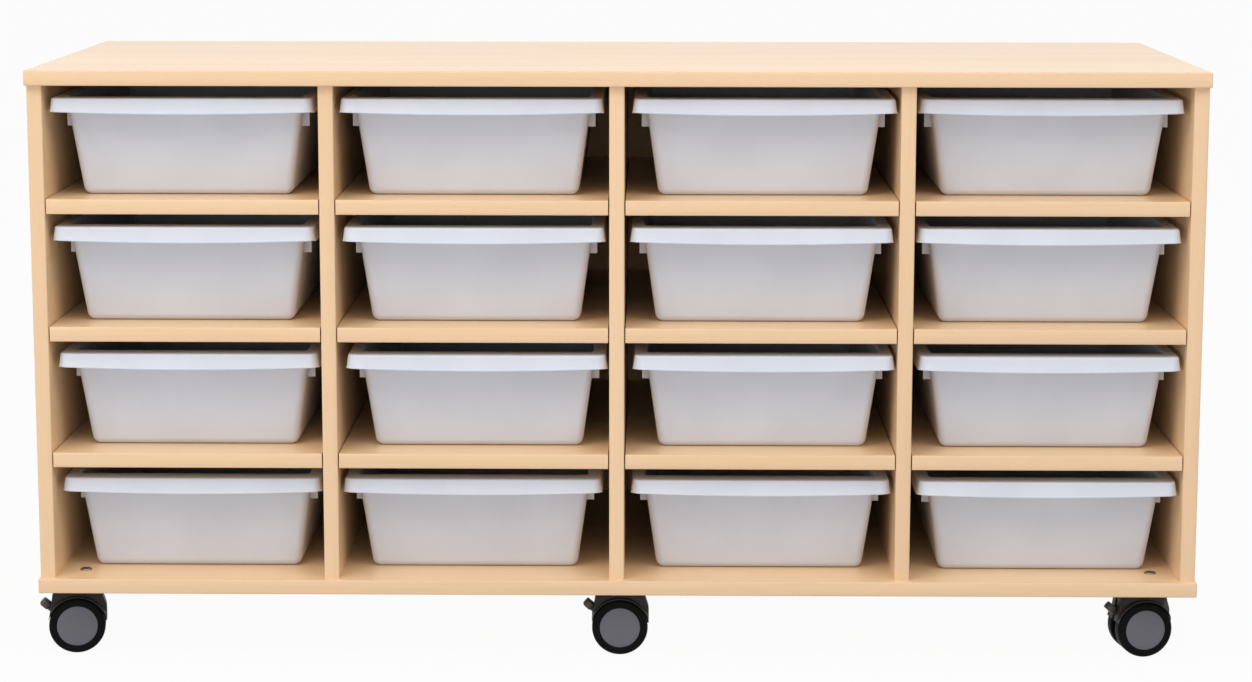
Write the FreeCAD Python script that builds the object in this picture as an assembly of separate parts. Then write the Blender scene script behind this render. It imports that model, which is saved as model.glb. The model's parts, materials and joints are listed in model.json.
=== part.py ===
import FreeCAD, Part
import math
import os

from FreeCAD import Rotation, Vector

# Mobile tray storage unit: a four-by-four carcass of edged boards on six braked twin-wheel casters,
# with sixteen loose moulded trays.  Millimetres, +Z up, the front faces -Y, and the origin lies on
# the floor under the middle of the top panel.

# ---------------------------------------------------------------- driving dimensions: carcass
WIDTH = 1400.0               # top and base panels, side to side
DEPTH = 500.0                # top and base panels, front to back
BOARD = 18.0                 # thickness of every structural board
COLUMNS = 4
ROWS = 4
CELL_HEIGHT = 136.0          # clear height of one cell
CASTER_HEIGHT = 81.0         # floor to the underside of the base
SIDE_OVERHANG = 1.5          # top and base past each end panel
FRONT_OVERHANG = 8.0         # top and base in front of the end panels and dividers
BACK_BOARD = 8.0             # thickness of the back panel
BACK_INSET = 12.0            # back panel in from the rear edges
ARRIS = 1.2                  # broken corner of the banded edges
SHELF_GAP = 1.8              # play at each end of a loose shelf
SHELF_SETBACK = 1.0          # shelf front edge behind the divider fronts
SHELF_REAR_GAP = 2.0

SUPPORT_SETBACK = 40.0       # shelf supports from the front and rear edges of a shelf
SUPPORT_REACH = 9.0
SUPPORT_BREADTH = 10.0
SUPPORT_HEIGHT = 4.6         # at the board
SUPPORT_TIP = 2.2            # at the free end

# ---------------------------------------------------------------- driving dimensions: tray
TRAY_WIDTH = 315.0           # over the lower edge of the rim skirt
TRAY_LENGTH = 430.0
TRAY_HEIGHT = 120.0
TRAY_WALL = 2.4
TRAY_DRAFT = 16.6            # how far each wall leans out over the full height
SIDE_FLANGE = 15.3           # rim past the body at the sides and the rear
FRONT_LIP = 28.0             # rim past the body at the front, the finger pull
SKIRT_HEIGHT = 18.0
SKIRT_WALL = 2.2
SKIRT_FLARE = 2.7            # skirt leans out this much from top to lower edge
RIM_CORNER = 12.0            # corner radius of the skirt's lower edge, seen from above
BODY_CORNER = 10.0           # corner radius of the body under the rim
RIM_FACETS = 2               # flats in each round corner of the rim
BODY_FACETS = 2              # flats in each round corner of the body
FOOT_BEVEL = 6.0             # rounding of the bottom edge, as a bevel
GUSSET_SETBACK = 58.0        # first gusset behind the front edge of the rim
GUSSET_DEPTH = 39.5          # gussets reach this far below the top of the rim
GUSSET_REACH = 144.5         # from the middle of the tray to the outer edge of a gusset
GUSSET_THICKNESS = 3.0
TRAY_FRONT = -235.5          # front of a tray that is pushed in squarely

# How far each tray stands off that place, to the right and to the rear, by row from the top.
TRAY_SHIFT = (
    ((-0.5, -1.5), (-0.5, -0.5), (3.0, 0.0), (-1.5, 3.5)),
    ((-0.5, -1.0), (1.5, -3.0), (0.5, -3.0), (-2.0, -2.5)),
    ((1.5, 1.0), (4.0, -3.0), (4.0, -3.5), (1.5, -4.5)),
    ((1.5, 7.0), (-2.5, 6.5), (2.0, 5.0), (2.5, 0.5)),
)

# ---------------------------------------------------------------- driving dimensions: casters
WHEEL_RADIUS = 34.0
WHEEL_WIDTH = 15.5
TYRE_SHOULDER = 3.5          # bevel from the tread to the outer face
WHEEL_FACETS = 32            # flats round the tread and round the fender's inside
WHEEL_GAP = 14.0             # between the inner faces of a twin pair
WEB_THICKNESS = 13.0         # of the hood's middle web
TRAIL = 11.5                 # stem axis to wheel axle
FENDER_RADIUS = 36.4         # outside of the fenders, about the axle
POCKET_RADIUS = 34.9         # inside of the fenders
FENDER_TIP_RADIUS = 35.5     # outside of the fenders at their thinned ends
FENDER_LEFT_TIP = 165.0      # degrees about the axle
FENDER_RIGHT_TIP = 5.0
FENDER_TAPER = 15.0          # degrees over which each end thins out
HOOD_HALF_WIDTH = 21.5
HOOD_TOP_GAP = 0.8           # hood under the base
HOUSING_HALF_WIDTH = 15.0    # of the swivel housing between the fenders
CROWN_HALF_WIDTH = 11.0      # of the housing at its top
CROWN_DEPTH = 10.0           # over which the housing narrows to its top
CROWN_CORNER = 3.0           # bevel at both ends of the top
CROWN_LEFT = 25.0            # ends of the top from the axle
CROWN_RIGHT = 30.0
FLANK_LEFT = Vector(-31.0, 0, 20.0)      # from the axle: foot of the slanting left wall
NECK_RIGHT = Vector(32.0, 0, 32.0)       # where the right wall starts to flare
SHOULDER_RIGHT = Vector(35.4, 0, 21.0)   # where it turns upright
BOW_HALF_WIDTH = 6.0         # flat middle of the right wall
BOW_DEPTH = 11.0             # its corners are cut back this far
AXLE_RADIUS = 3.0
AXLE_HALF_LENGTH = 20.0
WHEEL_BORE_DEPTH = 13.5
AXLE_BOSS_HALF_WIDTH = 7.0
AXLE_BOSS_DEPTH = 12.0       # web below the axle
STEM_RADIUS = 4.0
STEM_BOTTOM = 57.0
RUNNING_CLEARANCE = 0.05     # radial, of every turning fit
STEM_HEAD_RADIUS = 7.25
STEM_HEAD_HEIGHT = 2.2
STUD_DEPTH = 14.0            # of the headless studs, up into the base
STEM_X = 651.0               # corner casters
STEM_X_CENTRE = 15.0         # centre casters stand just beside the middle divider
STEM_Y = 204.0

LEVER_PIVOT_X = -22.0        # from the axle
LEVER_PIVOT_Z = 44.0
LEVER_ANGLE = 138.0          # degrees, released: up and outwards
LEVER_SWING = 25.0           # degrees down to the locked position
LEVER_BOSS_RADIUS = 4.5
LEVER_SHANK_HALF_WIDTH = 3.0
LEVER_SLOT_HALF_WIDTH = 3.5
LEVER_SHANK_THICKNESS = 4.5
LEVER_PADDLE_START = 15.5    # from the pivot
LEVER_LENGTH = 27.5          # from the pivot to the tip
LEVER_PADDLE_HALF_WIDTH = 7.0
LEVER_PADDLE_THICKNESS = 8.0
LEVER_PADDLE_CORNER = 3.5
LEVER_THROAT = 33.0          # degrees of room on each side of the shank

# Each caster: its place along X and Y, how far it is turned about its stem, and whether its stem
# is a bolt with a head on top of the base or a headless stud.  The rear right one stands turned
# about, as the front left one's opposite, so that the outermost levers reach equally far.
CASTERS = {
    "front_left": (-STEM_X, -STEM_Y, 9.5, True),
    "front_centre": (STEM_X_CENTRE, -STEM_Y, 1.0, False),
    "front_right": (STEM_X, -STEM_Y, 9.5, True),
    "rear_left": (-STEM_X, STEM_Y, 16.0, True),
    "rear_centre": (STEM_X_CENTRE, STEM_Y, -6.0, False),
    "rear_right": (STEM_X, STEM_Y, 189.5, True),
}

# ---------------------------------------------------------------- derived places
FRONT = -DEPTH / 2
REAR = DEPTH / 2
PANEL_FRONT = FRONT + FRONT_OVERHANG
BACK_FACE = REAR - BACK_INSET - BACK_BOARD
BODY_WIDTH = WIDTH - 2 * SIDE_OVERHANG
BASE_TOP = CASTER_HEIGHT + BOARD
INNER_HEIGHT = ROWS * CELL_HEIGHT + (ROWS - 1) * BOARD
TOP_UNDERSIDE = BASE_TOP + INNER_HEIGHT
HEIGHT = TOP_UNDERSIDE + BOARD
COLUMN_PITCH = (BODY_WIDTH - BOARD) / COLUMNS
CELL_WIDTH = COLUMN_PITCH - BOARD
ROW_PITCH = CELL_HEIGHT + BOARD
SKIRT_BOTTOM = TRAY_HEIGHT - SKIRT_HEIGHT

UP = Vector(0, 0, 1)
ALONG_Y = Vector(0, 1, 0)


def column_centre(column):
    """X of the middle of a cell, columns counted from the left."""
    return (column - (COLUMNS - 1) / 2) * COLUMN_PITCH


def row_floor(row):
    """Height of the surface that the trays of a row stand on, rows counted from the top."""
    return BASE_TOP + (ROWS - 1 - row) * ROW_PITCH


# ---------------------------------------------------------------- flat-faced shapes
def box(low, high):
    return Part.makeBox(*(high - low), low)


def flat_face(points):
    return Part.Face(Part.makePolygon(points + points[:1]))


def between(*rings):
    """The solid through parallel rings of points, with flat walls from each ring to the next."""
    faces = [flat_face(rings[0]), flat_face(rings[-1])]
    for lower, upper in zip(rings, rings[1:]):
        for i in range(len(lower)):
            faces.append(flat_face([lower[i - 1], lower[i], upper[i], upper[i - 1]]))
    solid = Part.Solid(Part.Shell(faces))
    if solid.Volume < 0:
        solid.reverse()
    return solid


# ---------------------------------------------------------------- boards
def edges_along(shape, axis, test):
    """The straight edges of a board that run along an axis and pass a test on their middle."""
    chosen = []
    for edge in shape.Edges:
        if abs(edge.tangentAt(edge.FirstParameter).dot(axis)) > 0.99 and test(edge.CenterOfMass):
            chosen.append(edge)
    return chosen


def edged_slab(low, high):
    """A top or base panel, its corners broken all round."""
    slab = box(low, high)
    across = edges_along(slab, Vector(1, 0, 0), lambda middle: True)
    deep = edges_along(slab, ALONG_Y, lambda middle: True)
    return slab.makeChamfer(ARRIS, across + deep)


def upright(x, rear):
    """An end panel or divider centred on x: the corners of its front edge are broken."""
    low = Vector(x - BOARD / 2, PANEL_FRONT, BASE_TOP)
    high = Vector(x + BOARD / 2, rear, TOP_UNDERSIDE)
    board = box(low, high)
    return board.makeChamfer(ARRIS, edges_along(board, UP, lambda middle: middle.y < low.y + 1))


def shelf(column, row):
    """A loose shelf under the trays of a row, with play at both ends."""
    half = CELL_WIDTH / 2 - SHELF_GAP
    top = row_floor(row)
    low = Vector(column_centre(column) - half, PANEL_FRONT + SHELF_SETBACK, top - BOARD)
    high = Vector(column_centre(column) + half, BACK_FACE - SHELF_REAR_GAP, top)
    board = box(low, high)
    return board.makeChamfer(ARRIS, edges_along(board, Vector(1, 0, 0), lambda middle: middle.y < low.y + 1))


def shelf_support(x, y, top, side):
    """A tapered support tongue on the face of an upright at x; side is the way it points."""
    outline = [
        Vector(x, y, top),
        Vector(x + side * SUPPORT_REACH, y, top),
        Vector(x + side * SUPPORT_REACH, y, top - SUPPORT_TIP),
        Vector(x, y, top - SUPPORT_HEIGHT),
    ]
    return flat_face(outline).extrude(ALONG_Y * SUPPORT_BREADTH)


def shelf_supports():
    """Four supports under every shelf."""
    places_y = (
        PANEL_FRONT + SHELF_SETBACK + SUPPORT_SETBACK,
        BACK_FACE - SHELF_REAR_GAP - SUPPORT_SETBACK - SUPPORT_BREADTH,
    )
    supports = []
    for row in range(ROWS - 1):
        for column in range(COLUMNS):
            for side in (-1, 1):
                x = column_centre(column) - side * CELL_WIDTH / 2
                for y in places_y:
                    supports.append(shelf_support(x, y, row_floor(row) - BOARD, side))
    return Part.makeCompound(supports)


def base_panel():
    """The base board, drilled for the caster stems."""
    slab = edged_slab(Vector(-WIDTH / 2, FRONT, CASTER_HEIGHT), Vector(WIDTH / 2, REAR, BASE_TOP))
    for x, y, _turn, headed in CASTERS.values():
        depth = BOARD if headed else STUD_DEPTH
        slab = slab.cut(Part.makeCylinder(STEM_RADIUS, depth, Vector(x, y, CASTER_HEIGHT)))
    return slab


# ---------------------------------------------------------------- trays
def corner_points(centre, radius, start_angle, facets):
    """Points on a quarter circle."""
    points = []
    for step in range(facets + 1):
        angle = start_angle + step * math.pi / 2 / facets
        points.append(centre + Vector(math.cos(angle), math.sin(angle), 0) * radius)
    return points


def rounded_rectangle(width, length, radius, facets, middle):
    """A level ring of points about a middle: straight sides and faceted round corners."""
    points = []
    for turn, (sign_x, sign_y) in enumerate(((1, 1), (-1, 1), (-1, -1), (1, -1))):
        centre = middle + Vector(sign_x * (width / 2 - radius), sign_y * (length / 2 - radius), 0)
        points += corner_points(centre, radius, turn * math.pi / 2, facets)
    return points


def body_section(z, inset):
    """The tray body's outline at height z, moved in by inset."""
    moved_in = inset + TRAY_DRAFT * (TRAY_HEIGHT - z) / TRAY_HEIGHT
    width = TRAY_WIDTH - 2 * SIDE_FLANGE - 2 * moved_in
    length = TRAY_LENGTH - SIDE_FLANGE - FRONT_LIP - 2 * moved_in
    middle = Vector(0, (FRONT_LIP - SIDE_FLANGE) / 2, z)
    return rounded_rectangle(width, length, BODY_CORNER - inset, BODY_FACETS, middle)


def skirt_section(z, inset):
    """The rim skirt's outline at height z, moved in by inset."""
    moved_in = inset + SKIRT_FLARE * (z - SKIRT_BOTTOM) / SKIRT_HEIGHT
    width = TRAY_WIDTH - 2 * moved_in
    length = TRAY_LENGTH - 2 * moved_in
    return rounded_rectangle(width, length, RIM_CORNER - moved_in, RIM_FACETS, Vector(0, 0, z))


def gussets(top):
    """Plates under the side flanges, near the front and the rear, for stacking."""
    plates = []
    inner = GUSSET_REACH - SIDE_FLANGE
    for y in (GUSSET_SETBACK - TRAY_LENGTH / 2, TRAY_LENGTH / 2 - GUSSET_SETBACK - GUSSET_THICKNESS):
        for start in (-GUSSET_REACH, inner):
            low = Vector(start, y, TRAY_HEIGHT - GUSSET_DEPTH)
            plates.append(box(low, Vector(start + SIDE_FLANGE, y + GUSSET_THICKNESS, top)))
    return plates


def tray():
    """A tapered tray whose rim turns down into a skirt; its middle is at x = y = 0, its bottom at z = 0."""
    flange_underside = TRAY_HEIGHT - TRAY_WALL
    outside = between(
        body_section(0.0, FOOT_BEVEL), body_section(FOOT_BEVEL, 0.0), body_section(TRAY_HEIGHT, 0.0)
    )
    inside = between(
        body_section(TRAY_WALL, TRAY_WALL + FOOT_BEVEL),
        body_section(TRAY_WALL + FOOT_BEVEL, TRAY_WALL),
        body_section(TRAY_HEIGHT, TRAY_WALL),
    )
    rim = between(skirt_section(SKIRT_BOTTOM, 0.0), skirt_section(TRAY_HEIGHT, 0.0))
    under_rim = between(skirt_section(SKIRT_BOTTOM, SKIRT_WALL), skirt_section(flange_underside, SKIRT_WALL))
    shell = rim.cut(under_rim).fuse([outside] + gussets(flange_underside))
    return shell.cut(inside).removeSplitter()


def placed_tray(shape, column, row):
    """A copy of the tray in its cell, as far in and over as that tray stands."""
    shift_x, shift_y = TRAY_SHIFT[row][column]
    place = Vector(
        column_centre(column) + shift_x,
        TRAY_FRONT + TRAY_LENGTH / 2 + shift_y,
        row_floor(row),
    )
    return shape.translated(place)


# ---------------------------------------------------------------- casters
# A caster is drawn with its stem on the Z axis and its axle along Y, TRAIL to the left of it; the
# brake lever points left.  It is then turned about the stem and moved to its place.
AXLE_X = -TRAIL
AXLE_Z = WHEEL_RADIUS
HOOD_TOP = CASTER_HEIGHT - HOOD_TOP_GAP


def about_axle(radius, degrees):
    """A point at a radius and angle about the axle, in the plane across it."""
    angle = math.radians(degrees)
    return Vector(AXLE_X + radius * math.cos(angle), 0, AXLE_Z + radius * math.sin(angle))


def plate(face, half_width):
    """A face across the axle made thick, to both sides of the middle of the caster."""
    solid = face.extrude(ALONG_Y * (2 * half_width))
    solid.translate(ALONG_Y * -half_width)
    return solid


def boss_outline():
    """The lower edge of the hood, from the right fender tip round the axle boss to the left tip."""
    return [
        about_axle(FENDER_TIP_RADIUS, FENDER_RIGHT_TIP),
        Vector(AXLE_X + AXLE_BOSS_HALF_WIDTH, 0, AXLE_Z - AXLE_BOSS_DEPTH),
        Vector(AXLE_X - AXLE_BOSS_HALF_WIDTH, 0, AXLE_Z - AXLE_BOSS_DEPTH),
        about_axle(FENDER_TIP_RADIUS, FENDER_LEFT_TIP),
    ]


def fender_face():
    """The side view of the fenders and the web: an arc over the wheels that thins out at both ends."""
    left = FENDER_LEFT_TIP - FENDER_TAPER
    right = FENDER_RIGHT_TIP + FENDER_TAPER
    arc = Part.Arc(
        about_axle(FENDER_RADIUS, left), about_axle(FENDER_RADIUS, 90.0), about_axle(FENDER_RADIUS, right)
    )
    underside = [about_axle(FENDER_RADIUS, right)] + boss_outline() + [about_axle(FENDER_RADIUS, left)]
    return Part.Face(Part.Wire([arc.toShape()] + Part.makePolygon(underside).Edges))


def housing():
    """The swivel housing on top of the fenders: slanting ends, narrowed to its flat top."""
    axle_middle = Vector(AXLE_X, 0, AXLE_Z)
    side_view = boss_outline() + [
        axle_middle + FLANK_LEFT,
        Vector(AXLE_X - CROWN_LEFT, 0, HOOD_TOP - CROWN_CORNER),
        Vector(AXLE_X - CROWN_LEFT + CROWN_CORNER, 0, HOOD_TOP),
        Vector(AXLE_X + CROWN_RIGHT - CROWN_CORNER, 0, HOOD_TOP),
        Vector(AXLE_X + CROWN_RIGHT, 0, HOOD_TOP - CROWN_CORNER),
        axle_middle + NECK_RIGHT,
        axle_middle + SHOULDER_RIGHT,
    ]
    left = AXLE_X - FENDER_RADIUS
    right = AXLE_X + SHOULDER_RIGHT.x
    plan = [
        Vector(left, HOUSING_HALF_WIDTH, 0),
        Vector(left, -HOUSING_HALF_WIDTH, 0),
        Vector(right - BOW_DEPTH, -HOUSING_HALF_WIDTH, 0),
        Vector(right, -BOW_HALF_WIDTH, 0),
        Vector(right, BOW_HALF_WIDTH, 0),
        Vector(right - BOW_DEPTH, HOUSING_HALF_WIDTH, 0),
    ]
    end_view = [
        Vector(left, -HOUSING_HALF_WIDTH, 0),
        Vector(left, HOUSING_HALF_WIDTH, 0),
        Vector(left, HOUSING_HALF_WIDTH, HOOD_TOP - CROWN_DEPTH),
        Vector(left, CROWN_HALF_WIDTH, HOOD_TOP),
        Vector(left, -CROWN_HALF_WIDTH, HOOD_TOP),
        Vector(left, -HOUSING_HALF_WIDTH, HOOD_TOP - CROWN_DEPTH),
    ]
    block = plate(flat_face(side_view), HOUSING_HALF_WIDTH)
    block = block.common(flat_face(plan).extrude(UP * HOOD_TOP))
    return block.common(flat_face(end_view).extrude(Vector(right - left, 0, 0)))


def lever_slot():
    """Room in the hood for the lever's barrel and for its shank over the whole swing."""
    pivot = Vector(AXLE_X + LEVER_PIVOT_X, 0, LEVER_PIVOT_Z)
    reach = 2 * LEVER_LENGTH
    rays = []
    for degrees in (LEVER_ANGLE - LEVER_THROAT, LEVER_ANGLE + LEVER_SWING + LEVER_THROAT):
        angle = math.radians(degrees)
        rays.append(pivot + Vector(math.cos(angle), 0, math.sin(angle)) * reach)
    throat = plate(flat_face([pivot] + rays), LEVER_SLOT_HALF_WIDTH)
    seat = Part.makeCylinder(
        LEVER_BOSS_RADIUS + RUNNING_CLEARANCE,
        2 * LEVER_SLOT_HALF_WIDTH,
        pivot - ALONG_Y * LEVER_SLOT_HALF_WIDTH,
        ALONG_Y,
    )
    return throat.fuse(seat)


def caster_hood():
    """The moulded hood: a web between the wheels, fenders over them and bearings for stem and axle."""
    block = plate(fender_face(), HOOD_HALF_WIDTH).fuse(housing())
    for side in (-1, 1):
        inner = wheel_ring(POCKET_RADIUS, side * WEB_THICKNESS / 2)
        outer = wheel_ring(POCKET_RADIUS, side * HOOD_HALF_WIDTH)
        block = block.cut(between(inner, outer))
    start = Vector(AXLE_X, -WEB_THICKNESS / 2, AXLE_Z)
    axle_hole = Part.makeCylinder(AXLE_RADIUS, WEB_THICKNESS, start, ALONG_Y)
    stem_hole = Part.makeCylinder(
        STEM_RADIUS + RUNNING_CLEARANCE, HOOD_TOP - STEM_BOTTOM + 1, Vector(0, 0, STEM_BOTTOM - 1)
    )
    return block.cut(axle_hole).cut(stem_hole).cut(lever_slot()).removeSplitter()


def lever_block(start, end, half_width, thickness):
    """A stretch of the lever, lying along +X from its pivot."""
    return box(Vector(start, -half_width, -thickness / 2), Vector(end, half_width, thickness / 2))


def brake_lever():
    """The lever: a barrel that turns in the web, a narrow shank and a wide paddle with cut corners."""
    barrel = Part.makeCylinder(
        LEVER_BOSS_RADIUS, 2 * LEVER_SHANK_HALF_WIDTH, Vector(0, -LEVER_SHANK_HALF_WIDTH, 0), ALONG_Y
    )
    shank = lever_block(0, LEVER_PADDLE_START + 1, LEVER_SHANK_HALF_WIDTH, LEVER_SHANK_THICKNESS)
    paddle = lever_block(LEVER_PADDLE_START, LEVER_LENGTH, LEVER_PADDLE_HALF_WIDTH, LEVER_PADDLE_THICKNESS)
    tips = edges_along(paddle, UP, lambda middle: middle.x > LEVER_PADDLE_START + 1)
    paddle = paddle.makeChamfer(LEVER_PADDLE_CORNER, tips)
    lever = barrel.fuse(shank).fuse(paddle).removeSplitter()
    lever.rotate(Vector(), ALONG_Y, -LEVER_ANGLE)
    lever.translate(Vector(AXLE_X + LEVER_PIVOT_X, 0, LEVER_PIVOT_Z))
    return lever


def wheel_ring(radius, y):
    """A ring of points about the axle, WHEEL_FACETS sides, at a place along it."""
    step = 360 / WHEEL_FACETS
    return [about_axle(radius, i * step) + ALONG_Y * y for i in range(WHEEL_FACETS)]


def wheel(side):
    """One wheel of the twin pair: a bevelled tread and a blind bore; side is -1 for the front one."""
    inner = side * WHEEL_GAP / 2
    outer = inner + side * WHEEL_WIDTH
    body = between(
        wheel_ring(WHEEL_RADIUS, inner),
        wheel_ring(WHEEL_RADIUS, outer - side * TYRE_SHOULDER),
        wheel_ring(WHEEL_RADIUS - TYRE_SHOULDER, outer),
    )
    start = Vector(AXLE_X, inner, AXLE_Z)
    bore = Part.makeCylinder(AXLE_RADIUS + RUNNING_CLEARANCE, WHEEL_BORE_DEPTH, start, ALONG_Y * side)
    return body.cut(bore)


def axle():
    start = Vector(AXLE_X, -AXLE_HALF_LENGTH, AXLE_Z)
    return Part.makeCylinder(AXLE_RADIUS, 2 * AXLE_HALF_LENGTH, start, ALONG_Y)


def caster_stem(headed):
    """The pivot of a caster: a bolt through the base, or a stud in its underside."""
    top = BASE_TOP if headed else CASTER_HEIGHT + STUD_DEPTH
    stem = Part.makeCylinder(STEM_RADIUS, top - STEM_BOTTOM, Vector(0, 0, STEM_BOTTOM))
    if headed:
        stem = stem.fuse(Part.makeCylinder(STEM_HEAD_RADIUS, STEM_HEAD_HEIGHT, Vector(0, 0, BASE_TOP)))
    return stem


def at_caster(shape, name):
    """A copy of a caster piece, turned and moved to one of the six places."""
    x, y, turn, _headed = CASTERS[name]
    placement = FreeCAD.Placement(Vector(x, y, 0), Rotation(UP, turn))
    return shape.transformed(placement.toMatrix())


# ---------------------------------------------------------------- nodes
def carcass_nodes():
    end_x = BODY_WIDTH / 2 - BOARD / 2
    nodes = {
        "top_panel": edged_slab(Vector(-WIDTH / 2, FRONT, TOP_UNDERSIDE), Vector(WIDTH / 2, REAR, HEIGHT)),
        "base_panel": base_panel(),
        "end_panel_left": upright(-end_x, REAR),
        "end_panel_right": upright(end_x, REAR),
        "back_panel": box(
            Vector(-BODY_WIDTH / 2 + BOARD, BACK_FACE, BASE_TOP),
            Vector(BODY_WIDTH / 2 - BOARD, BACK_FACE + BACK_BOARD, TOP_UNDERSIDE),
        ),
        "shelf_supports": shelf_supports(),
    }
    for divider in range(1, COLUMNS):
        x = column_centre(divider) - COLUMN_PITCH / 2
        nodes[f"divider_{divider}"] = upright(x, BACK_FACE)
    for row in range(ROWS - 1):
        nodes[f"shelves_row_{row + 1}"] = Part.makeCompound([shelf(column, row) for column in range(COLUMNS)])
    return nodes


def tray_nodes():
    shape = tray()
    nodes = {}
    for row in range(ROWS):
        for column in range(COLUMNS):
            nodes[f"tray_row_{row + 1}_column_{column + 1}"] = placed_tray(shape, column, row)
    return nodes


def caster_nodes():
    pieces = {
        "caster_hood": caster_hood(),
        "brake_lever": brake_lever(),
        "wheel_axle": axle(),
        "wheel_a": wheel(-1),
        "wheel_b": wheel(1),
    }
    nodes = {}
    stems = []
    for name, (_x, _y, _turn, headed) in CASTERS.items():
        for piece, shape in pieces.items():
            nodes[f"{piece}_{name}"] = at_caster(shape, name)
        stems.append(at_caster(caster_stem(headed), name))
    nodes["caster_stems"] = Part.makeCompound(stems)
    return nodes


def main():
    os.makedirs("parts", exist_ok=True)
    nodes = {**carcass_nodes(), **tray_nodes(), **caster_nodes()}
    for name, shape in nodes.items():
        shape.exportStep(f"parts/{name}.step")
    print(len(nodes), "nodes")


main()
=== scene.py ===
import json
import math
from collections import namedtuple

import bmesh
import bpy
from bpy.props import FloatProperty, FloatVectorProperty, PointerProperty
from mathutils import Euler, Matrix, Vector
from mathutils.geometry import intersect_line_line


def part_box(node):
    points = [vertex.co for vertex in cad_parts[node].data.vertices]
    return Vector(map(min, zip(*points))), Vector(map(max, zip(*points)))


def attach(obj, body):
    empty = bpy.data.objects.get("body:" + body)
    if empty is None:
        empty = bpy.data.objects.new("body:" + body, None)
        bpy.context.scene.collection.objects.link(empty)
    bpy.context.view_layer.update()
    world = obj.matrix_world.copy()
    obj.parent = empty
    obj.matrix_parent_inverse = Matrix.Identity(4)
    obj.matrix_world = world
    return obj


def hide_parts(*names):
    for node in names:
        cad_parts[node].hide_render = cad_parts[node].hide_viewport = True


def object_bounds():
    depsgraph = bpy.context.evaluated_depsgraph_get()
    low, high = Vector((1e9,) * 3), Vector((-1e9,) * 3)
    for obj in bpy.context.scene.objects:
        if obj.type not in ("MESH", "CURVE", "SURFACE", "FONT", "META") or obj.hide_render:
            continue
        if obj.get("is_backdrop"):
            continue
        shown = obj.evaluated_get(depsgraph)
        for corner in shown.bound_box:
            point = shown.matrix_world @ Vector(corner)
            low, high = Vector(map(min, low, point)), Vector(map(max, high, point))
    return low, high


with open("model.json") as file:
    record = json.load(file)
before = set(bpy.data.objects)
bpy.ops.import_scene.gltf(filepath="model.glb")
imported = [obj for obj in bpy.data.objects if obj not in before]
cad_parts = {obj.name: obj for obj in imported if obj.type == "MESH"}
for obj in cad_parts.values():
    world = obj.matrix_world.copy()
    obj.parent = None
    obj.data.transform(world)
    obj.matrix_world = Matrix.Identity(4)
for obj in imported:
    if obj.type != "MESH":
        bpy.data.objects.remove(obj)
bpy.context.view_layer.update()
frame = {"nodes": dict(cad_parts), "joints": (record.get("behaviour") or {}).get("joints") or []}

bl_info = {
    "name": "Classroom tray unit",
    "version": (1, 0, 0),
    "blender": (4, 5, 0),
    "location": "3D View > Sidebar > Tray unit",
    "description": "Builds the boards, trays and casters of a mobile classroom storage unit",
    "category": "Object",
}

MM = 0.001
ROWS = 4
COLUMNS = 4
PLACES = ("front_left", "front_centre", "front_right", "rear_left", "rear_centre", "rear_right")
UPRIGHTS = ("end_panel_left", "divider_1", "divider_2", "divider_3", "end_panel_right")
TOUCH = 0.001 * MM          # points nearer than this count as one
CUT_TOLERANCE = 0.0001 * MM
CREASE = 35.0               # degrees past which an edge is shaded sharp
NOISE_RANGE = (0.3, 0.7)    # where most of a noise's values lie


# ---------------------------------------------------------------- sizes and colours
def length_setting(name, description, millimetres):
    return FloatProperty(name=name, description=description, default=millimetres * MM, unit="LENGTH")


def colour_setting(name, description, colour):
    return FloatVectorProperty(
        name=name, description=description, default=colour, subtype="COLOR", size=3, min=0.0, max=1.0
    )


def share_setting(name, description, share):
    return FloatProperty(
        name=name, description=description, default=share, min=0.0, max=1.0, subtype="FACTOR"
    )


def light_setting(name, description, strength):
    return FloatProperty(name=name, description=description, default=strength, min=0.0)


class BoardSettings(bpy.types.PropertyGroup):
    arris: length_setting("Arris", "Radius of the rounded board edges", 1.6)
    banding: length_setting("Banding", "Thickness of the edge banding", 2.0)
    shelf_play: length_setting("Shelf play", "Gap between a loose shelf and each upright", 1.4)
    face_colour: colour_setting("Face", "Laminate on the faces of the boards", (0.92, 0.65, 0.39))
    edge_colour: colour_setting("Edge", "Banding on the edges of the boards", (0.775, 0.55, 0.35))
    grain: share_setting("Grain", "Strength of the wood figure", 0.5)


class TraySettings(bpy.types.PropertyGroup):
    wall: length_setting("Wall", "Wall thickness", 2.4)
    side_flange: length_setting("Side flange", "Rim past the body at the sides and the rear", 15.3)
    front_lip: length_setting("Front lip", "Rim past the body at the front", 28.0)
    lean: length_setting("Lean", "How far each wall leans out over its height", 16.6)
    skirt: length_setting("Skirt", "Height of the turned-down rim", 18.0)
    flare: length_setting("Flare", "How far the skirt leans out", 2.7)
    rim_corner: length_setting("Rim corner", "Corner radius of the skirt's lower edge", 12.0)
    body_corner: length_setting("Body corner", "Corner radius inside the body", 7.6)
    roll: length_setting("Roll", "Rounding of the rim's upper edge", 2.0)
    bow: length_setting("Bow", "How far the front of the skirt bows outwards in its middle", 1.6)
    sag: length_setting("Sag", "How much lower the skirt hangs in its middle than at its corners", 3.0)
    colour: colour_setting("Plastic", "Tray plastic", (0.60, 0.62, 0.685))


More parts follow.
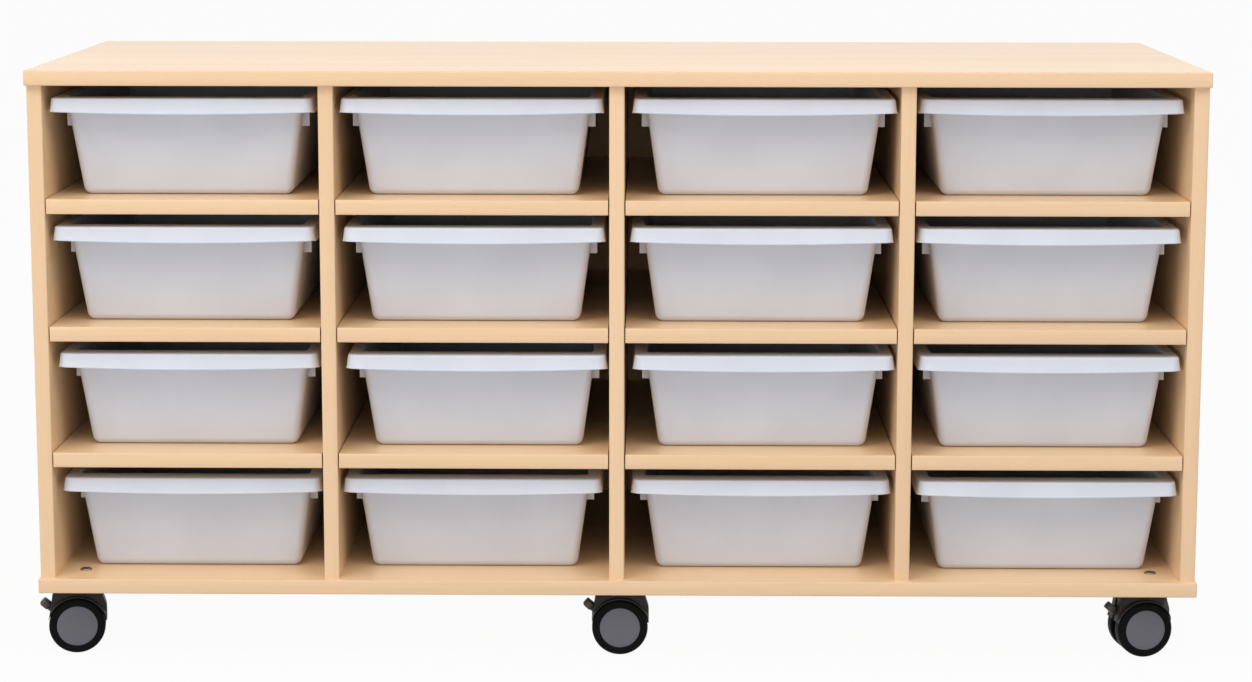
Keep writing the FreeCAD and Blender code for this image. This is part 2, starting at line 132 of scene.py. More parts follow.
class CasterSettings(bpy.types.PropertyGroup):
    hub_cap: length_setting("Hub cap", "Radius of the hub cap", 24.7)
    shoulder: length_setting("Shoulder", "Rounding of the tread's outer edge", 4.0)
    wheel_colour: colour_setting("Wheel", "Tread and rim", (0.0045, 0.0045, 0.005))
    cap_colour: colour_setting("Hub cap", "Hub cap", (0.116, 0.117, 0.134))
    hood_colour: colour_setting("Hood", "Moulded hood", (0.021, 0.019, 0.0185))
    lever_colour: colour_setting("Lever", "Brake lever", (0.045, 0.040, 0.037))
    steel_colour: colour_setting("Steel", "Stems and axles", (0.36, 0.27, 0.20))


class StageSettings(bpy.types.PropertyGroup):
    floor_colour: colour_setting("Floor", "Plain floor", (0.65, 0.65, 0.65))
    floor_glow: share_setting("Floor glow", "How far the floor is seen as plain white", 0.95)
    floor_size: length_setting("Floor size", "Side of the floor", 90000.0)
    ambient: light_setting("Ambient", "Strength of the light from all round", 0.56)
    left_light: light_setting("Left light", "Soft light from the upper left, in watts", 32.0)
    right_light: light_setting("Right light", "Soft light from the upper right, in watts", 23.0)
    front_light: light_setting("Front light", "Wide, low and soft light from the front, in watts", 53.0)
    camera_place: FloatVectorProperty(
        name="Camera place", description="Where the camera stands",
        default=(0.04516, -3.48308, 0.97861), subtype="XYZ",
    )
    camera_turn: FloatVectorProperty(
        name="Camera turn", description="How the camera is turned",
        default=(1.426924, -0.001064, 0.010515), subtype="EULER",
    )
    lens: FloatProperty(
        name="Lens", description="Focal length in millimetres on a 36 mm frame", default=79.214
    )
    shift: FloatVectorProperty(
        name="Shift", description="Lens shift, in frame widths", default=(-0.0004, -0.0773), size=2
    )


# ---------------------------------------------------------------- material building
class Recipe:
    """A material under construction: its nodes, its links and its Principled shader."""

    def __init__(self, name):
        self.material = bpy.data.materials.new(name)
        self.material.use_nodes = True
        self.tree = self.material.node_tree
        self.shader = self.tree.nodes["Principled BSDF"]

    def node(self, kind, **settings):
        made = self.tree.nodes.new(kind)
        for key, value in settings.items():
            setattr(made, key, value)
        return made

    def link(self, out, into):
        self.tree.links.new(out, into)

    def object_points(self, scale):
        """Object coordinates, stretched."""
        coordinates = self.node("ShaderNodeTexCoord")
        mapping = self.node("ShaderNodeMapping")
        mapping.inputs["Scale"].default_value = scale
        self.link(coordinates.outputs["Object"], mapping.inputs["Vector"])
        return mapping.outputs["Vector"]

    def noise(self, points, scale=1.0, detail=3.0, roughness=0.5):
        made = self.node("ShaderNodeTexNoise")
        made.inputs["Scale"].default_value = scale
        made.inputs["Detail"].default_value = detail
        made.inputs["Roughness"].default_value = roughness
        self.link(points, made.inputs["Vector"])
        return made.outputs["Fac"]

    def remap(self, value, low, high, to_low=0.0, to_high=1.0):
        made = self.node("ShaderNodeMapRange")
        limits = {"From Min": low, "From Max": high, "To Min": to_low, "To Max": to_high}
        for key, number in limits.items():
            made.inputs[key].default_value = number
        self.link(value, made.inputs["Value"])
        return made.outputs["Result"]

    def spread(self, noise, to_low=0.0, to_high=1.0):
        """A noise, spread between two values."""
        return self.remap(noise, *NOISE_RANGE, to_low, to_high)

    def maths(self, operation, first, second):
        made = self.node("ShaderNodeMath", operation=operation)
        for value, socket in zip((first, second), made.inputs):
            if isinstance(value, float):
                socket.default_value = value
            else:
                self.link(value, socket)
        return made.outputs["Value"]

    def mix(self, factor, first, second):
        """Two colours, or sockets that carry them, mixed by a factor."""
        made = self.node("ShaderNodeMix", data_type="RGBA")
        self.link(factor, made.inputs["Factor"])
        for value, key in ((first, "A"), (second, "B")):
            socket = next(s for s in made.inputs if s.name == key and s.type == "RGBA")
            if isinstance(value, bpy.types.NodeSocket):
                self.link(value, socket)
            else:
                socket.default_value = (*value, 1.0)
        return next(s for s in made.outputs if s.type == "RGBA")

    def bump(self, height, strength, distance):
        made = self.node("ShaderNodeBump")
        made.inputs["Strength"].default_value = strength
        made.inputs["Distance"].default_value = distance
        self.link(height, made.inputs["Height"])
        self.link(made.outputs["Normal"], self.shader.inputs["Normal"])


def shade(colour, amount):
    """A colour made darker or lighter."""
    return tuple(min(1.0, channel * amount) for channel in colour)


def warmed(colour, amount):
    """A colour moved towards red-brown."""
    red, green, blue = colour
    return (red, green * (1 - 0.5 * amount), blue * (1 - amount))


def along(axis, run, across):
    """A scale that is low along the grain and high across it."""
    return tuple(run if name == axis else across for name in "XYZ")


def beech(name, colour, axis, grain):
    """Pale beech-effect laminate: broad bands, fine streaks and short flecks along an axis."""
    recipe = Recipe(name)
    bands = recipe.noise(recipe.object_points(along(axis, 0.8, 14.0)), detail=2.0)
    streaks = recipe.noise(recipe.object_points(along(axis, 5.0, 190.0)), detail=4.0, roughness=0.6)
    flecks = recipe.noise(recipe.object_points(along(axis, 210.0, 900.0)), detail=1.0)
    dark_band = shade(warmed(colour, 0.10 * grain), 1.0 - 0.09 * grain)
    pale_band = shade(colour, 1.0 + 0.05 * grain)
    banded = recipe.mix(recipe.spread(bands), dark_band, pale_band)
    streak = shade(warmed(colour, 0.22), 0.84)
    streaked = recipe.mix(recipe.remap(streaks, 0.45, 0.75, 0.0, 0.55 * grain), banded, streak)
    fleck = shade(warmed(colour, 0.30), 0.70)
    flecked = recipe.mix(recipe.remap(flecks, 0.64, 0.74, 0.0, 0.5 * grain), streaked, fleck)
    recipe.link(flecked, recipe.shader.inputs["Base Color"])
    recipe.shader.inputs["Specular IOR Level"].default_value = 0.12
    recipe.link(recipe.spread(streaks, 0.18, 0.26), recipe.shader.inputs["Roughness"])
    recipe.bump(streaks, 0.12, 0.2 * MM)
    return recipe.material


def moulded(name, colour, roughness, speckle, texture, shine=0.5):
    """Moulded plastic: nearly even colour, faint mottling and a fine sparked surface."""
    recipe = Recipe(name)
    mottling = recipe.noise(recipe.object_points((14.0, 14.0, 14.0)), detail=2.0)
    sparks = recipe.noise(recipe.object_points((speckle, speckle, speckle)), detail=2.0, roughness=0.6)
    colours = recipe.mix(recipe.spread(mottling), shade(colour, 0.97), shade(colour, 1.03))
    recipe.link(colours, recipe.shader.inputs["Base Color"])
    recipe.shader.inputs["Specular IOR Level"].default_value = shine
    uneven = recipe.spread(sparks, roughness - 0.05, roughness + 0.05)
    recipe.link(uneven, recipe.shader.inputs["Roughness"])
    recipe.bump(sparks, texture, 0.1 * MM)
    return recipe.material


def plated(name, colour):
    """Zinc-plated steel: brushed by turning, with a faint uneven tone."""
    recipe = Recipe(name)
    tone = recipe.noise(recipe.object_points((160.0, 160.0, 160.0)), detail=3.0)
    lines = recipe.noise(recipe.object_points((200.0, 200.0, 2600.0)), detail=2.0)
    colours = recipe.mix(recipe.spread(tone), shade(colour, 0.88), shade(colour, 1.08))
    recipe.link(colours, recipe.shader.inputs["Base Color"])
    recipe.link(recipe.spread(lines, 0.42, 0.56), recipe.shader.inputs["Roughness"])
    recipe.shader.inputs["Metallic"].default_value = 1.0
    recipe.bump(lines, 0.15, 0.05 * MM)
    return recipe.material


def kept_material(name, make):
    """The material of that name, made when it is first asked for."""
    return bpy.data.materials.get(name) or make()


def board_face(axis):
    """Laminate whose grain runs along an axis."""
    settings = bpy.context.scene.tray_unit_boards
    name = f"beech_laminate_{axis.lower()}"
    return kept_material(name, lambda: beech(name, tuple(settings.face_colour), axis, settings.grain))


def board_edge(axis):
    """Banding whose grain runs along an axis, a little fainter than the laminate's."""
    settings = bpy.context.scene.tray_unit_boards
    name = f"beech_banding_{axis.lower()}"
    grain = 0.8 * settings.grain
    return kept_material(name, lambda: beech(name, tuple(settings.edge_colour), axis, grain))


def zinc_steel():
    settings = bpy.context.scene.tray_unit_casters
    name = "zinc_plated_steel"
    return kept_material(name, lambda: plated(name, tuple(settings.steel_colour)))


# ---------------------------------------------------------------- piece building
def finished(shape, name, body, materials, node):
    """Turns a bmesh into a piece that rides on a body and stands for a node."""
    mesh = bpy.data.meshes.new(name)
    shape.to_mesh(mesh)
    shape.free()
    for material in materials:
        mesh.materials.append(material)
    mesh.polygons.foreach_set("use_smooth", [True] * len(mesh.polygons))
    mesh.set_sharp_from_angle(angle=math.radians(CREASE))
    piece = bpy.data.objects.new(name, mesh)
    bpy.context.scene.collection.objects.link(piece)
    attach(piece, body)
    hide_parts(node)


def block(shape, low, high):
    """A box between two corners; returns its new vertices."""
    middle = (Vector(low) + Vector(high)) / 2
    size = Vector(high) - Vector(low)
    matrix = Matrix.Translation(middle) @ Matrix.Diagonal((*size, 1.0))
    return bmesh.ops.create_cube(shape, size=1.0, matrix=matrix)["verts"]


def edges_of(verts):
    return list({edge for vert in verts for edge in vert.link_edges})


def rounded(shape, edges, radius, segments):
    return bmesh.ops.bevel(
        shape, geom=edges, offset=radius, offset_type="OFFSET", segments=segments, profile=0.5,
        affect="EDGES", material=-1,
    )


def extruded(shape, outline, depth):
    """A closed solid from a flat outline, pushed along a vector."""
    verts = [shape.verts.new(point) for point in outline]
    face = shape.faces.new(verts)
    made = bmesh.ops.extrude_face_region(shape, geom=[face], use_keep_orig=True)
    moved = [part for part in made["geom"] if isinstance(part, bmesh.types.BMVert)]
    bmesh.ops.translate(shape, vec=depth, verts=moved)
    new_faces = list({f for vert in verts + moved for f in vert.link_faces})
    bmesh.ops.recalc_face_normals(shape, faces=new_faces)
    return verts + moved


def quarter(count, start=0.0, end=90.0):
    """Sines and cosines of evenly spaced angles, in degrees."""
    for step in range(count):
        angle = math.radians(start + (end - start) * step / (count - 1))
        yield math.sin(angle), math.cos(angle)


def turned(shape, profile, centre, axis, steps):
    """A solid of revolution from a profile whose ends lie on the axis."""
    verts = [shape.verts.new(point) for point in profile]
    edges = [shape.edges.new(pair) for pair in zip(verts, verts[1:])]
    bmesh.ops.spin(
        shape, geom=verts + edges, cent=centre, axis=axis, dvec=(0, 0, 0), angle=math.tau, steps=steps,
        use_merge=True, use_normal_flip=False, use_duplicate=False,
    )
    bmesh.ops.remove_doubles(shape, verts=shape.verts, dist=TOUCH)
    bmesh.ops.recalc_face_normals(shape, faces=shape.faces)


# ---------------------------------------------------------------- boards
def part_middle(part):
    if isinstance(part, bmesh.types.BMVert):
        return part.co
    if isinstance(part, bmesh.types.BMEdge):
        return (part.verts[0].co + part.verts[1].co) / 2
    return part.calc_center_median()


def inside(part, low, high):
    """Whether the middle of a vertex, edge or face lies in a box."""
    middle = part_middle(part)
    return all(low[i] - TOUCH <= middle[i] <= high[i] + TOUCH for i in range(3))


def edge_runs(edge, axis):
    """Whether an edge is parallel to an axis."""
    return abs((edge.verts[1].co - edge.verts[0].co).normalized()[axis]) > 0.999


def on_band(edge, low, high, banded_axes):
    """Whether an edge lies round a banded side of a board."""
    middle = part_middle(edge)
    return any(
        not edge_runs(edge, i) and min(abs(middle[i] - low[i]), abs(middle[i] - high[i])) < TOUCH
        for i in banded_axes
    )


def board(shape, low, high, lengthways, banded_axes, settings):
    """One board: rounded along its banded edges, with banding on them; the grain runs lengthways."""
    verts = block(shape, low, high)
    thin = min(range(3), key=lambda i: high[i] - low[i])
    banded_all_round = len(banded_axes) > 1
    chosen = [
        edge for edge in edges_of(verts)
        if on_band(edge, low, high, banded_axes) and (banded_all_round or not edge_runs(edge, thin))
    ]
    rounded(shape, chosen, settings.arris, 3)
    for i in banded_axes:
        normal = Vector([float(j == i) for j in range(3)])
        for place in (low[i] + settings.banding, high[i] - settings.banding):
            everything = (*shape.verts, *shape.edges, *shape.faces)
            parts = [part for part in everything if inside(part, low, high)]
            bmesh.ops.bisect_plane(
                shape, geom=parts, dist=CUT_TOLERANCE, plane_co=normal * place, plane_no=normal
            )
    for face in (face for face in shape.faces if inside(face, low, high)):
        middle = face.calc_center_median()
        face.material_index = 0
        for i in banded_axes:
            if min(middle[i] - low[i], high[i] - middle[i]) < 0.99 * settings.banding:
                face.material_index = 2 if i == "XYZ".index(lengthways) else 1


class TRAYUNIT_OT_boards(bpy.types.Operator):
    """Adds the top, the base, the end panels and the dividers"""

    bl_idname = "tray_unit.add_boards"
    bl_label = "Add boards"

    def execute(self, context):
        settings = context.scene.tray_unit_boards
        for node in ("top_panel", "base_panel"):
            shape = bmesh.new()
            board(shape, *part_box(node), "X", (0, 1), settings)
            finished(
                shape, f"{node}_board", "carcass",
                [board_face("X"), board_edge("X"), board_edge("Y")], node,
            )
        for node in UPRIGHTS:
            shape = bmesh.new()
            board(shape, *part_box(node), "Z", (1,), settings)
            finished(
                shape, f"{node}_board", "carcass",
                [board_face("Z"), board_edge("Z"), board_edge("Z")], node,
            )
        return {"FINISHED"}


class TRAYUNIT_OT_shelves(bpy.types.Operator):
    """Adds the loose shelves, four to a row"""

    bl_idname = "tray_unit.add_shelves"
    bl_label = "Add shelves"

    def execute(self, context):
        settings = context.scene.tray_unit_boards
        for row in range(1, ROWS):
            node = f"shelves_row_{row}"
            low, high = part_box(node)
            shape = bmesh.new()
            for left, right in zip(UPRIGHTS, UPRIGHTS[1:]):
                start = Vector((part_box(left)[1].x + settings.shelf_play, low.y, low.z))
                end = Vector((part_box(right)[0].x - settings.shelf_play, high.y, high.z))
                board(shape, start, end, "X", (1,), settings)
            finished(
                shape, f"{node}_boards", "carcass",
                [board_face("X"), board_edge("X"), board_edge("Y")], node,
            )
        return {"FINISHED"}


class TRAYUNIT_OT_back(bpy.types.Operator):
    """Finishes the back panel and the shelf supports"""

    bl_idname = "tray_unit.finish_back"
    bl_label = "Finish back panel and supports"

    def execute(self, context):
        brown = moulded(
            "brown_support_plastic", (0.20, 0.11, 0.055), roughness=0.45, speckle=1500.0, texture=0.15
        )
        for node, material in (("back_panel", board_face("X")), ("shelf_supports", brown)):
            for slot in frame["nodes"][node].material_slots:
                slot.material = material
        return {"FINISHED"}


# ---------------------------------------------------------------- trays
# A tray is drawn standing on the ground, about the middle of its rim.
BEAD = 0.5 * MM              # the bead along the skirt's lower edge stands out by this
BEAD_HEIGHT = 2.0 * MM
MOUTH = 2.0 * MM             # rounding from the rim into the inner walls
FOOT_EDGE = 0.6 * MM         # the foot's rounding is this much less than the body's corners
BOW_DEPTH = 13.0 * MM        # how far back the bow of the front reaches
LEVEL_SHARE = 0.65           # share of the bow at which the skirt neither sags nor rises
PLATE_INSET = 58.0 * MM      # stacking plates: from the tray's ends, below its top, and out
PLATE_DROP = 38.0 * MM
PLATE_REACH = 146.3 * MM
PLATE_THICKNESS = 3.0 * MM
PLATE_EDGE = 0.5 * MM

Ring = namedtuple("Ring", "half corner height middle")


def ring(inset, height, corner, size, front=0.0, sides=0.0):
    """A level rounded rectangle inside the rim: half sizes, corner radius, height and middle along Y."""
    half = Vector((size.x / 2 - sides - inset, size.y / 2 - (sides + front) / 2 - inset))
    return Ring(half, corner, height, (front - sides) / 2)


def first_ring(shape, place):
    """The edges of a ring; the long sides at the front and rear are divided so that they can bow."""
    matrix = Matrix.Translation((0, place.middle, place.height))
    matrix @= Matrix.Diagonal((2 * place.half.x, 2 * place.half.y, 1, 1))
    verts = bmesh.ops.create_grid(shape, x_segments=1, y_segments=1, size=0.5, matrix=matrix)["verts"]
    bmesh.ops.bevel(
        shape, geom=verts, offset=place.corner, offset_type="OFFSET", segments=6, profile=0.5,
        affect="VERTICES", material=-1,
    )
    bmesh.ops.delete(shape, geom=shape.faces, context="FACES_ONLY")
    long_edges = [
        edge for edge in shape.edges if edge.calc_length() > place.half.x and edge_runs(edge, 0)
    ]
    bmesh.ops.subdivide_edges(shape, edges=long_edges, cuts=9)
    return list(shape.edges)


def next_ring(shape, edges, old, new):
    """Pulls a ring of edges out to a new ring; every point keeps its share of its side or corner."""
    made = bmesh.ops.extrude_edge_only(shape, edges=edges)["geom"]
    limits = old.half - Vector((old.corner, old.corner))
    for vert in (part for part in made if isinstance(part, bmesh.types.BMVert)):
        flat = Vector((vert.co.x, vert.co.y - old.middle))
        core = Vector([max(-limit, min(limit, value)) for value, limit in zip(flat, limits)])
        outward = (flat - core) / old.corner
        for i in range(2):
            core[i] *= (new.half[i] - new.corner) / (old.half[i] - old.corner)
        flat = core + outward * new.corner
        vert.co = (flat.x, flat.y + new.middle, new.height)
    return [part for part in made if isinstance(part, bmesh.types.BMEdge) and part.is_boundary]


def tray_rings(size, settings):
    """The rings of the tray's upper side: beaded skirt, rolled rim, inner walls and floor."""
    top = size.z
    wall, skirt, flare, roll = settings.wall, settings.skirt, settings.flare, settings.roll
    body_corner = settings.body_corner

    def rim_ring(inset, down):
        return ring(inset, top - down, settings.rim_corner - inset, size)

    def wall_ring(inset, up, corner):
        leaning = inset + settings.lean * (top - up) / top
        return ring(leaning, up, corner, size, settings.front_lip, settings.side_flange)

    rings = [
        rim_ring(0.1 * BEAD_HEIGHT, skirt),
        rim_ring(0.0, skirt - 0.2 * BEAD_HEIGHT),
        rim_ring(0.0, skirt - 0.7 * BEAD_HEIGHT),
        rim_ring(BEAD, skirt - BEAD_HEIGHT),
        rim_ring(0.8 * flare, 2 * roll),
    ]
    for sine, cosine in quarter(4, start=10.0, end=89.8):
        rings.append(rim_ring(0.92 * flare + roll * (1 - cosine), roll * (1 - sine)))
    for sine, cosine in quarter(4):
        rings.append(wall_ring(wall - MOUTH * (1 - sine), top - MOUTH * (1 - cosine), body_corner))
    foot = body_corner - FOOT_EDGE
    for sine, cosine in quarter(5):
        sunk = foot * (1 - cosine)
        rings.append(wall_ring(wall + sunk, wall + foot * (1 - sine), body_corner - sunk))
    return rings


def tray_skin(shape, size, settings):
    """The tray's upper side as one open skin."""
    rings = tray_rings(size, settings)
    edges = first_ring(shape, rings[0])
    for old, new in zip(rings, rings[1:]):
        edges = next_ring(shape, edges, old, new)
    bmesh.ops.contextual_create(shape, geom=edges)
    bmesh.ops.recalc_face_normals(shape, faces=shape.faces)


def bow_front(shape, size, settings):
    """Bows the front of the skirt outwards, and its lower edge downwards, towards the middle."""
    width, length, height = size
    for vert in shape.verts:
        back = vert.co.y + length / 2
        if back < BOW_DEPTH:
            share = 1 - (2 * vert.co.x / width) ** 2
            low = (height - vert.co.z) / settings.skirt
            near = 1 - (back / BOW_DEPTH) ** 2
            vert.co.y -= settings.bow * share * near
            vert.co.z += settings.sag * (LEVEL_SHARE - share) * near * low ** 2


def tray_plates(shape, size, settings):
    """Stacking plates from the side flanges to the leaning side walls, near the front and the rear."""
    width, length, height = size
    half_wall = 0.5 * settings.wall

    def inside_wall(z):
        return width / 2 - settings.side_flange - settings.lean * (1 - z / height) - half_wall

    top = height - half_wall
    bottom = height - PLATE_DROP
    corners = [
        (inside_wall(top), top), (PLATE_REACH, top), (PLATE_REACH, bottom), (inside_wall(bottom), bottom)
    ]
    for y in (PLATE_INSET - length / 2, length / 2 - PLATE_INSET - PLATE_THICKNESS):
        for side in (-1, 1):
            outline = [Vector((side * x, y, z)) for x, z in corners]
            verts = extruded(shape, outline, Vector((0, PLATE_THICKNESS, 0)))
            rounded(shape, edges_of(verts), PLATE_EDGE, 2)


class TRAYUNIT_OT_trays(bpy.types.Operator):
    """Adds the sixteen moulded trays"""

    bl_idname = "tray_unit.add_trays"
    bl_label = "Add trays"

    def execute(self, context):
        settings = context.scene.tray_unit_trays
        plastic = moulded(
            "grey_tray_plastic", tuple(settings.colour), roughness=0.46, speckle=1100.0, texture=0.10,
            shine=0.22,
        )
        low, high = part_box("tray_row_1_column_1")
        size = high - low
        model = bmesh.new()
        tray_skin(model, size, settings)
        bow_front(model, size, settings)
        bmesh.ops.solidify(model, geom=model.faces, thickness=settings.wall)
        tray_plates(model, size, settings)
        for row in range(1, ROWS + 1):
            for column in range(1, COLUMNS + 1):
                node = f"tray_row_{row}_column_{column}"
                low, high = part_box(node)
                shape = model.copy()
                place = Vector(((low.x + high.x) / 2, (low.y + high.y) / 2, low.z))
                bmesh.ops.translate(shape, vec=place, verts=shape.verts)
                finished(shape, f"{node}_moulding", node, [plastic], node)
        model.free()
        return {"FINISHED"}


# ---------------------------------------------------------------- casters
# A caster is drawn with its stem on the Z axis and its axle along Y, to the left of it, and is then
# turned and moved to its place.
TRAIL = 11.5 * MM             # from the stem to the axle
AXLE_HEIGHT = 34.0 * MM       # which is the wheels' radius too
HOOD_HALF_WIDTH = 21.5 * MM
HOUSING_HALF = 15.0 * MM      # half the swivel housing's width, and then at its top and its right end
HOUSING_TOP_HALF = 11.0 * MM
HOUSING_END_HALF = 6.0 * MM
HOUSING_TOP_RUN = 10.0 * MM   # how far the housing takes to narrow to its top, and to its right end
HOUSING_END_RUN = 11.0 * MM
WEB_HALF = 6.5 * MM           # half the web's thickness between the wheels, and its slot's
SLOT_HALF = 3.5 * MM
LAP = 0.2 * MM                # how far fenders and housing reach into the web
MARGIN = 0.1 * MM             # for telling edges apart
FENDER_OUTER = 36.4 * MM      # radii about the axle
FENDER_INNER = 34.9 * MM
FENDER_TIP = 35.5 * MM
FENDER_ENDS = (5, 165)        # degrees about the axle, as are the next two
FENDER_FULL = (20, 150)       # where the full thickness starts and ends
FENDER_CUT = 38               # where the slanting cut of the right end starts
LEVER_PIVOT = Vector((-TRAIL - 22.0 * MM, 0, AXLE_HEIGHT + 10.0 * MM))
LEVER_ANGLE = 138.0           # how far round from +X a lever points at rest
NOTCH_ENDS = (196, 105)       # degrees about the pivot: the notch's lower and upper edge
THROAT_RADIUS = 4.6 * MM
WHEEL_INSIDE = 7.0 * MM       # a wheel's inner and outer side, from the middle of the caster
WHEEL_OUTSIDE = 22.5 * MM
BORE_RADIUS = 3.05 * MM
BORE_BOTTOM = 20.5 * MM
INNER_EDGE = 1.5 * MM         # rounding of the tread's inner edge
STEM_RADIUS = 4.0 * MM
STEM_EDGE = 0.5 * MM
STUD_DEPTH = 14.0 * MM        # how far a stud goes into the base panel
HEAD_RADIUS = 7.25 * MM
SOCKET_RADIUS = 2.3 * MM


def joint(name):
    return next(j for j in frame["joints"] if j["name"] == name)


def caster_matrix(place):
    """Where a caster stands and how it is turned, from its swivel and a wheel's axle."""
    swivel = joint(f"caster_{place}_swivel")
    axle = joint(f"wheel_a_{place}_roll")["axis"]
    x, y, _z = swivel["pos_m"]
    return Matrix.Translation((x, y, 0)) @ Matrix.Rotation(math.atan2(-axle[0], axle[1]), 4, "Z")


def at_caster(shape, place):
    bmesh.ops.transform(shape, matrix=caster_matrix(place), verts=shape.verts)


def about_axle(radius, degrees, y=0.0):
    """A point at a radius and an angle about the axle."""
    angle = math.radians(degrees)
    return Vector((-TRAIL + radius * math.cos(angle), y, AXLE_HEIGHT + radius * math.sin(angle)))


def arc(centre, radius, start, end, steps):
    """Points on an arc in the plane across the axle."""
    points = []
    for step in range(steps + 1):
        angle = math.radians(start + (end - start) * step / steps)
        points.append(centre + Vector((math.cos(angle), 0, math.sin(angle))) * radius)
    return points


AXLE = about_axle(0.0, 0.0)


def from_axle(x, z):
    """A point in the plane across the axle, in millimetres from it."""
    return AXLE + Vector((x * MM, 0, z * MM))


def hood_top():
    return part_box("caster_hood_front_left")[1].z


def housing_outline():
    """The swivel housing's outline from its left foot over the flat top to its right foot."""
    left_radius = 9.0 * MM
    right_radius = 4.0 * MM
    left_end = from_axle(-29.4, 0).x
    right_end = from_axle(30.0, 0).x
    left_centre = Vector((left_end + left_radius, 0, hood_top() - left_radius))
    right_centre = Vector((right_end - right_radius, 0, hood_top() - right_radius))
    left_side = [from_axle(-32.9, 15.0), from_axle(-31.8, 22.0), from_axle(-30.6, 30.0)]
    right_side = [
        from_axle(31.6, 33.5), from_axle(32.9, 29.0), from_axle(35.0, 22.5), from_axle(35.4, 19.5)
    ]
    right_foot, left_foot = (about_axle(FENDER_TIP, degrees) for degrees in FENDER_ENDS)
    return [
        left_foot, *left_side, *arc(left_centre, left_radius, 168, 90, 6),
        *arc(right_centre, right_radius, 90, 8, 5), *right_side, right_foot,
    ]


def boss_outline():
    """The lower edge of the web, below the axle."""
    return [from_axle(x, -12.0) for x in (7.0, -7.0)]


def meeting(angle, first, second):
    """Where a ray from the lever's pivot at an angle meets the line through two points."""
    ray = arc(LEVER_PIVOT, 1.0, angle, angle, 1)[0]
    return intersect_line_line(LEVER_PIVOT, ray, first, second)[0]


def notched_outline():
    """The middle of the hood's web, open on the left for the lever."""
    outline = housing_outline()
    lowest, highest = NOTCH_ENDS
    lower = meeting(lowest, outline[0], boss_outline()[1])
    upper = meeting(highest, outline[3], outline[4])
    throat = arc(LEVER_PIVOT, THROAT_RADIUS, lowest - 360, highest, 16)
    return [lower, *throat, upper, *outline[4:], *boss_outline()]


def shifted(points, y):
    return [point + Vector((0, y, 0)) for point in points]


def sharp_edges(verts, degrees):
    """The edges between these vertices whose two faces meet at more than an angle."""
    kept = set(verts)
    whole = [edge for edge in edges_of(verts) if kept.issuperset(edge.verts) and edge.is_manifold]
    return [edge for edge in whole if edge.calc_face_angle() > math.radians(degrees)]


def lies_beyond(edge, half_width, radius):
    """Whether an edge is farther out than a half width, and farther from the axle than a radius."""
    return all(abs(v.co.y) > half_width and (v.co - AXLE).xz.length > radius for v in edge.verts)


def trimmed(shape, verts, place, normal):
    """Cuts a convex end off the solid of these vertices and closes it; returns the vertices left."""
    parts = {part for vert in verts for part in (vert, *vert.link_edges, *vert.link_faces)}
    made = bmesh.ops.bisect_plane(
        shape, geom=list(parts), dist=CUT_TOLERANCE, plane_co=place, plane_no=normal, clear_outer=True
    )
    rim = [part for part in made["geom_cut"] if isinstance(part, bmesh.types.BMEdge)]
    bmesh.ops.contextual_create(shape, geom=rim)
    cut = [part for part in made["geom_cut"] if isinstance(part, bmesh.types.BMVert)]
    return list({*(vert for vert in verts if vert.is_valid), *cut})


def fender(shape, side):
    """One fender: a thin shell over a wheel, rounded at its rim, tapered, and cut back at the right."""
    first, last = FENDER_ENDS
    outline = [
        about_axle(FENDER_TIP, first), *arc(AXLE, FENDER_OUTER, *FENDER_FULL, 26),
        about_axle(FENDER_TIP, last), *arc(AXLE, FENDER_INNER, last, first, 32),
    ]
    start = side * (WEB_HALF - LAP)
    end = side * HOOD_HALF_WIDTH
    verts = extruded(shape, shifted(outline, start), Vector((0, end - start, 0)))
    outwards_and_down = Vector((0.34, side * 2.0, -0.94))
    verts = trimmed(shape, verts, about_axle(FENDER_OUTER, FENDER_CUT, end), outwards_and_down)
    rim = [
        edge for edge in edges_of(verts)
        if lies_beyond(edge, HOOD_HALF_WIDTH - MARGIN, FENDER_OUTER - MARGIN)
    ]
    rounded(shape, rim, 0.9 * MM, 3)


def housing_side(shape, side):
    """One side of the swivel housing: hollow over the wheel, narrowed at its top and its right end."""
    outline = housing_outline() + arc(AXLE, FENDER_INNER, *FENDER_ENDS, 32)
    start = side * (WEB_HALF - LAP)
    verts = extruded(shape, shifted(outline, start), Vector((0, side * HOUSING_HALF - start, 0)))
    right = Vector((from_axle(35.4, 0).x, side * HOUSING_END_HALF, 0))
    to_right = Vector((HOUSING_HALF - HOUSING_END_HALF, side * HOUSING_END_RUN, 0)).normalized()
    verts = trimmed(shape, verts, right, to_right)
    top = Vector((0, side * HOUSING_TOP_HALF, hood_top()))
    to_top = Vector((0, side * HOUSING_TOP_RUN, HOUSING_HALF - HOUSING_TOP_HALF)).normalized()
    verts = trimmed(shape, verts, top, to_top)
    outer = [edge for edge in sharp_edges(verts, 25) if lies_beyond(edge, WEB_HALF, FENDER_TIP + MARGIN)]
    rounded(shape, outer, 1.6 * MM, 3)


def hood_shape():
    """A hood: two fenders, the two sides of the housing, and a web in three layers between them."""
    shape = bmesh.new()
    full = housing_outline() + boss_outline()
    cheek = WEB_HALF - SLOT_HALF
    for side in (-1, 1):
        fender(shape, side)
        housing_side(shape, side)
        extruded(shape, shifted(full, side * SLOT_HALF), Vector((0, side * cheek, 0)))
    extruded(shape, shifted(notched_outline(), -SLOT_HALF), Vector((0, 2 * SLOT_HALF, 0)))
    return shape


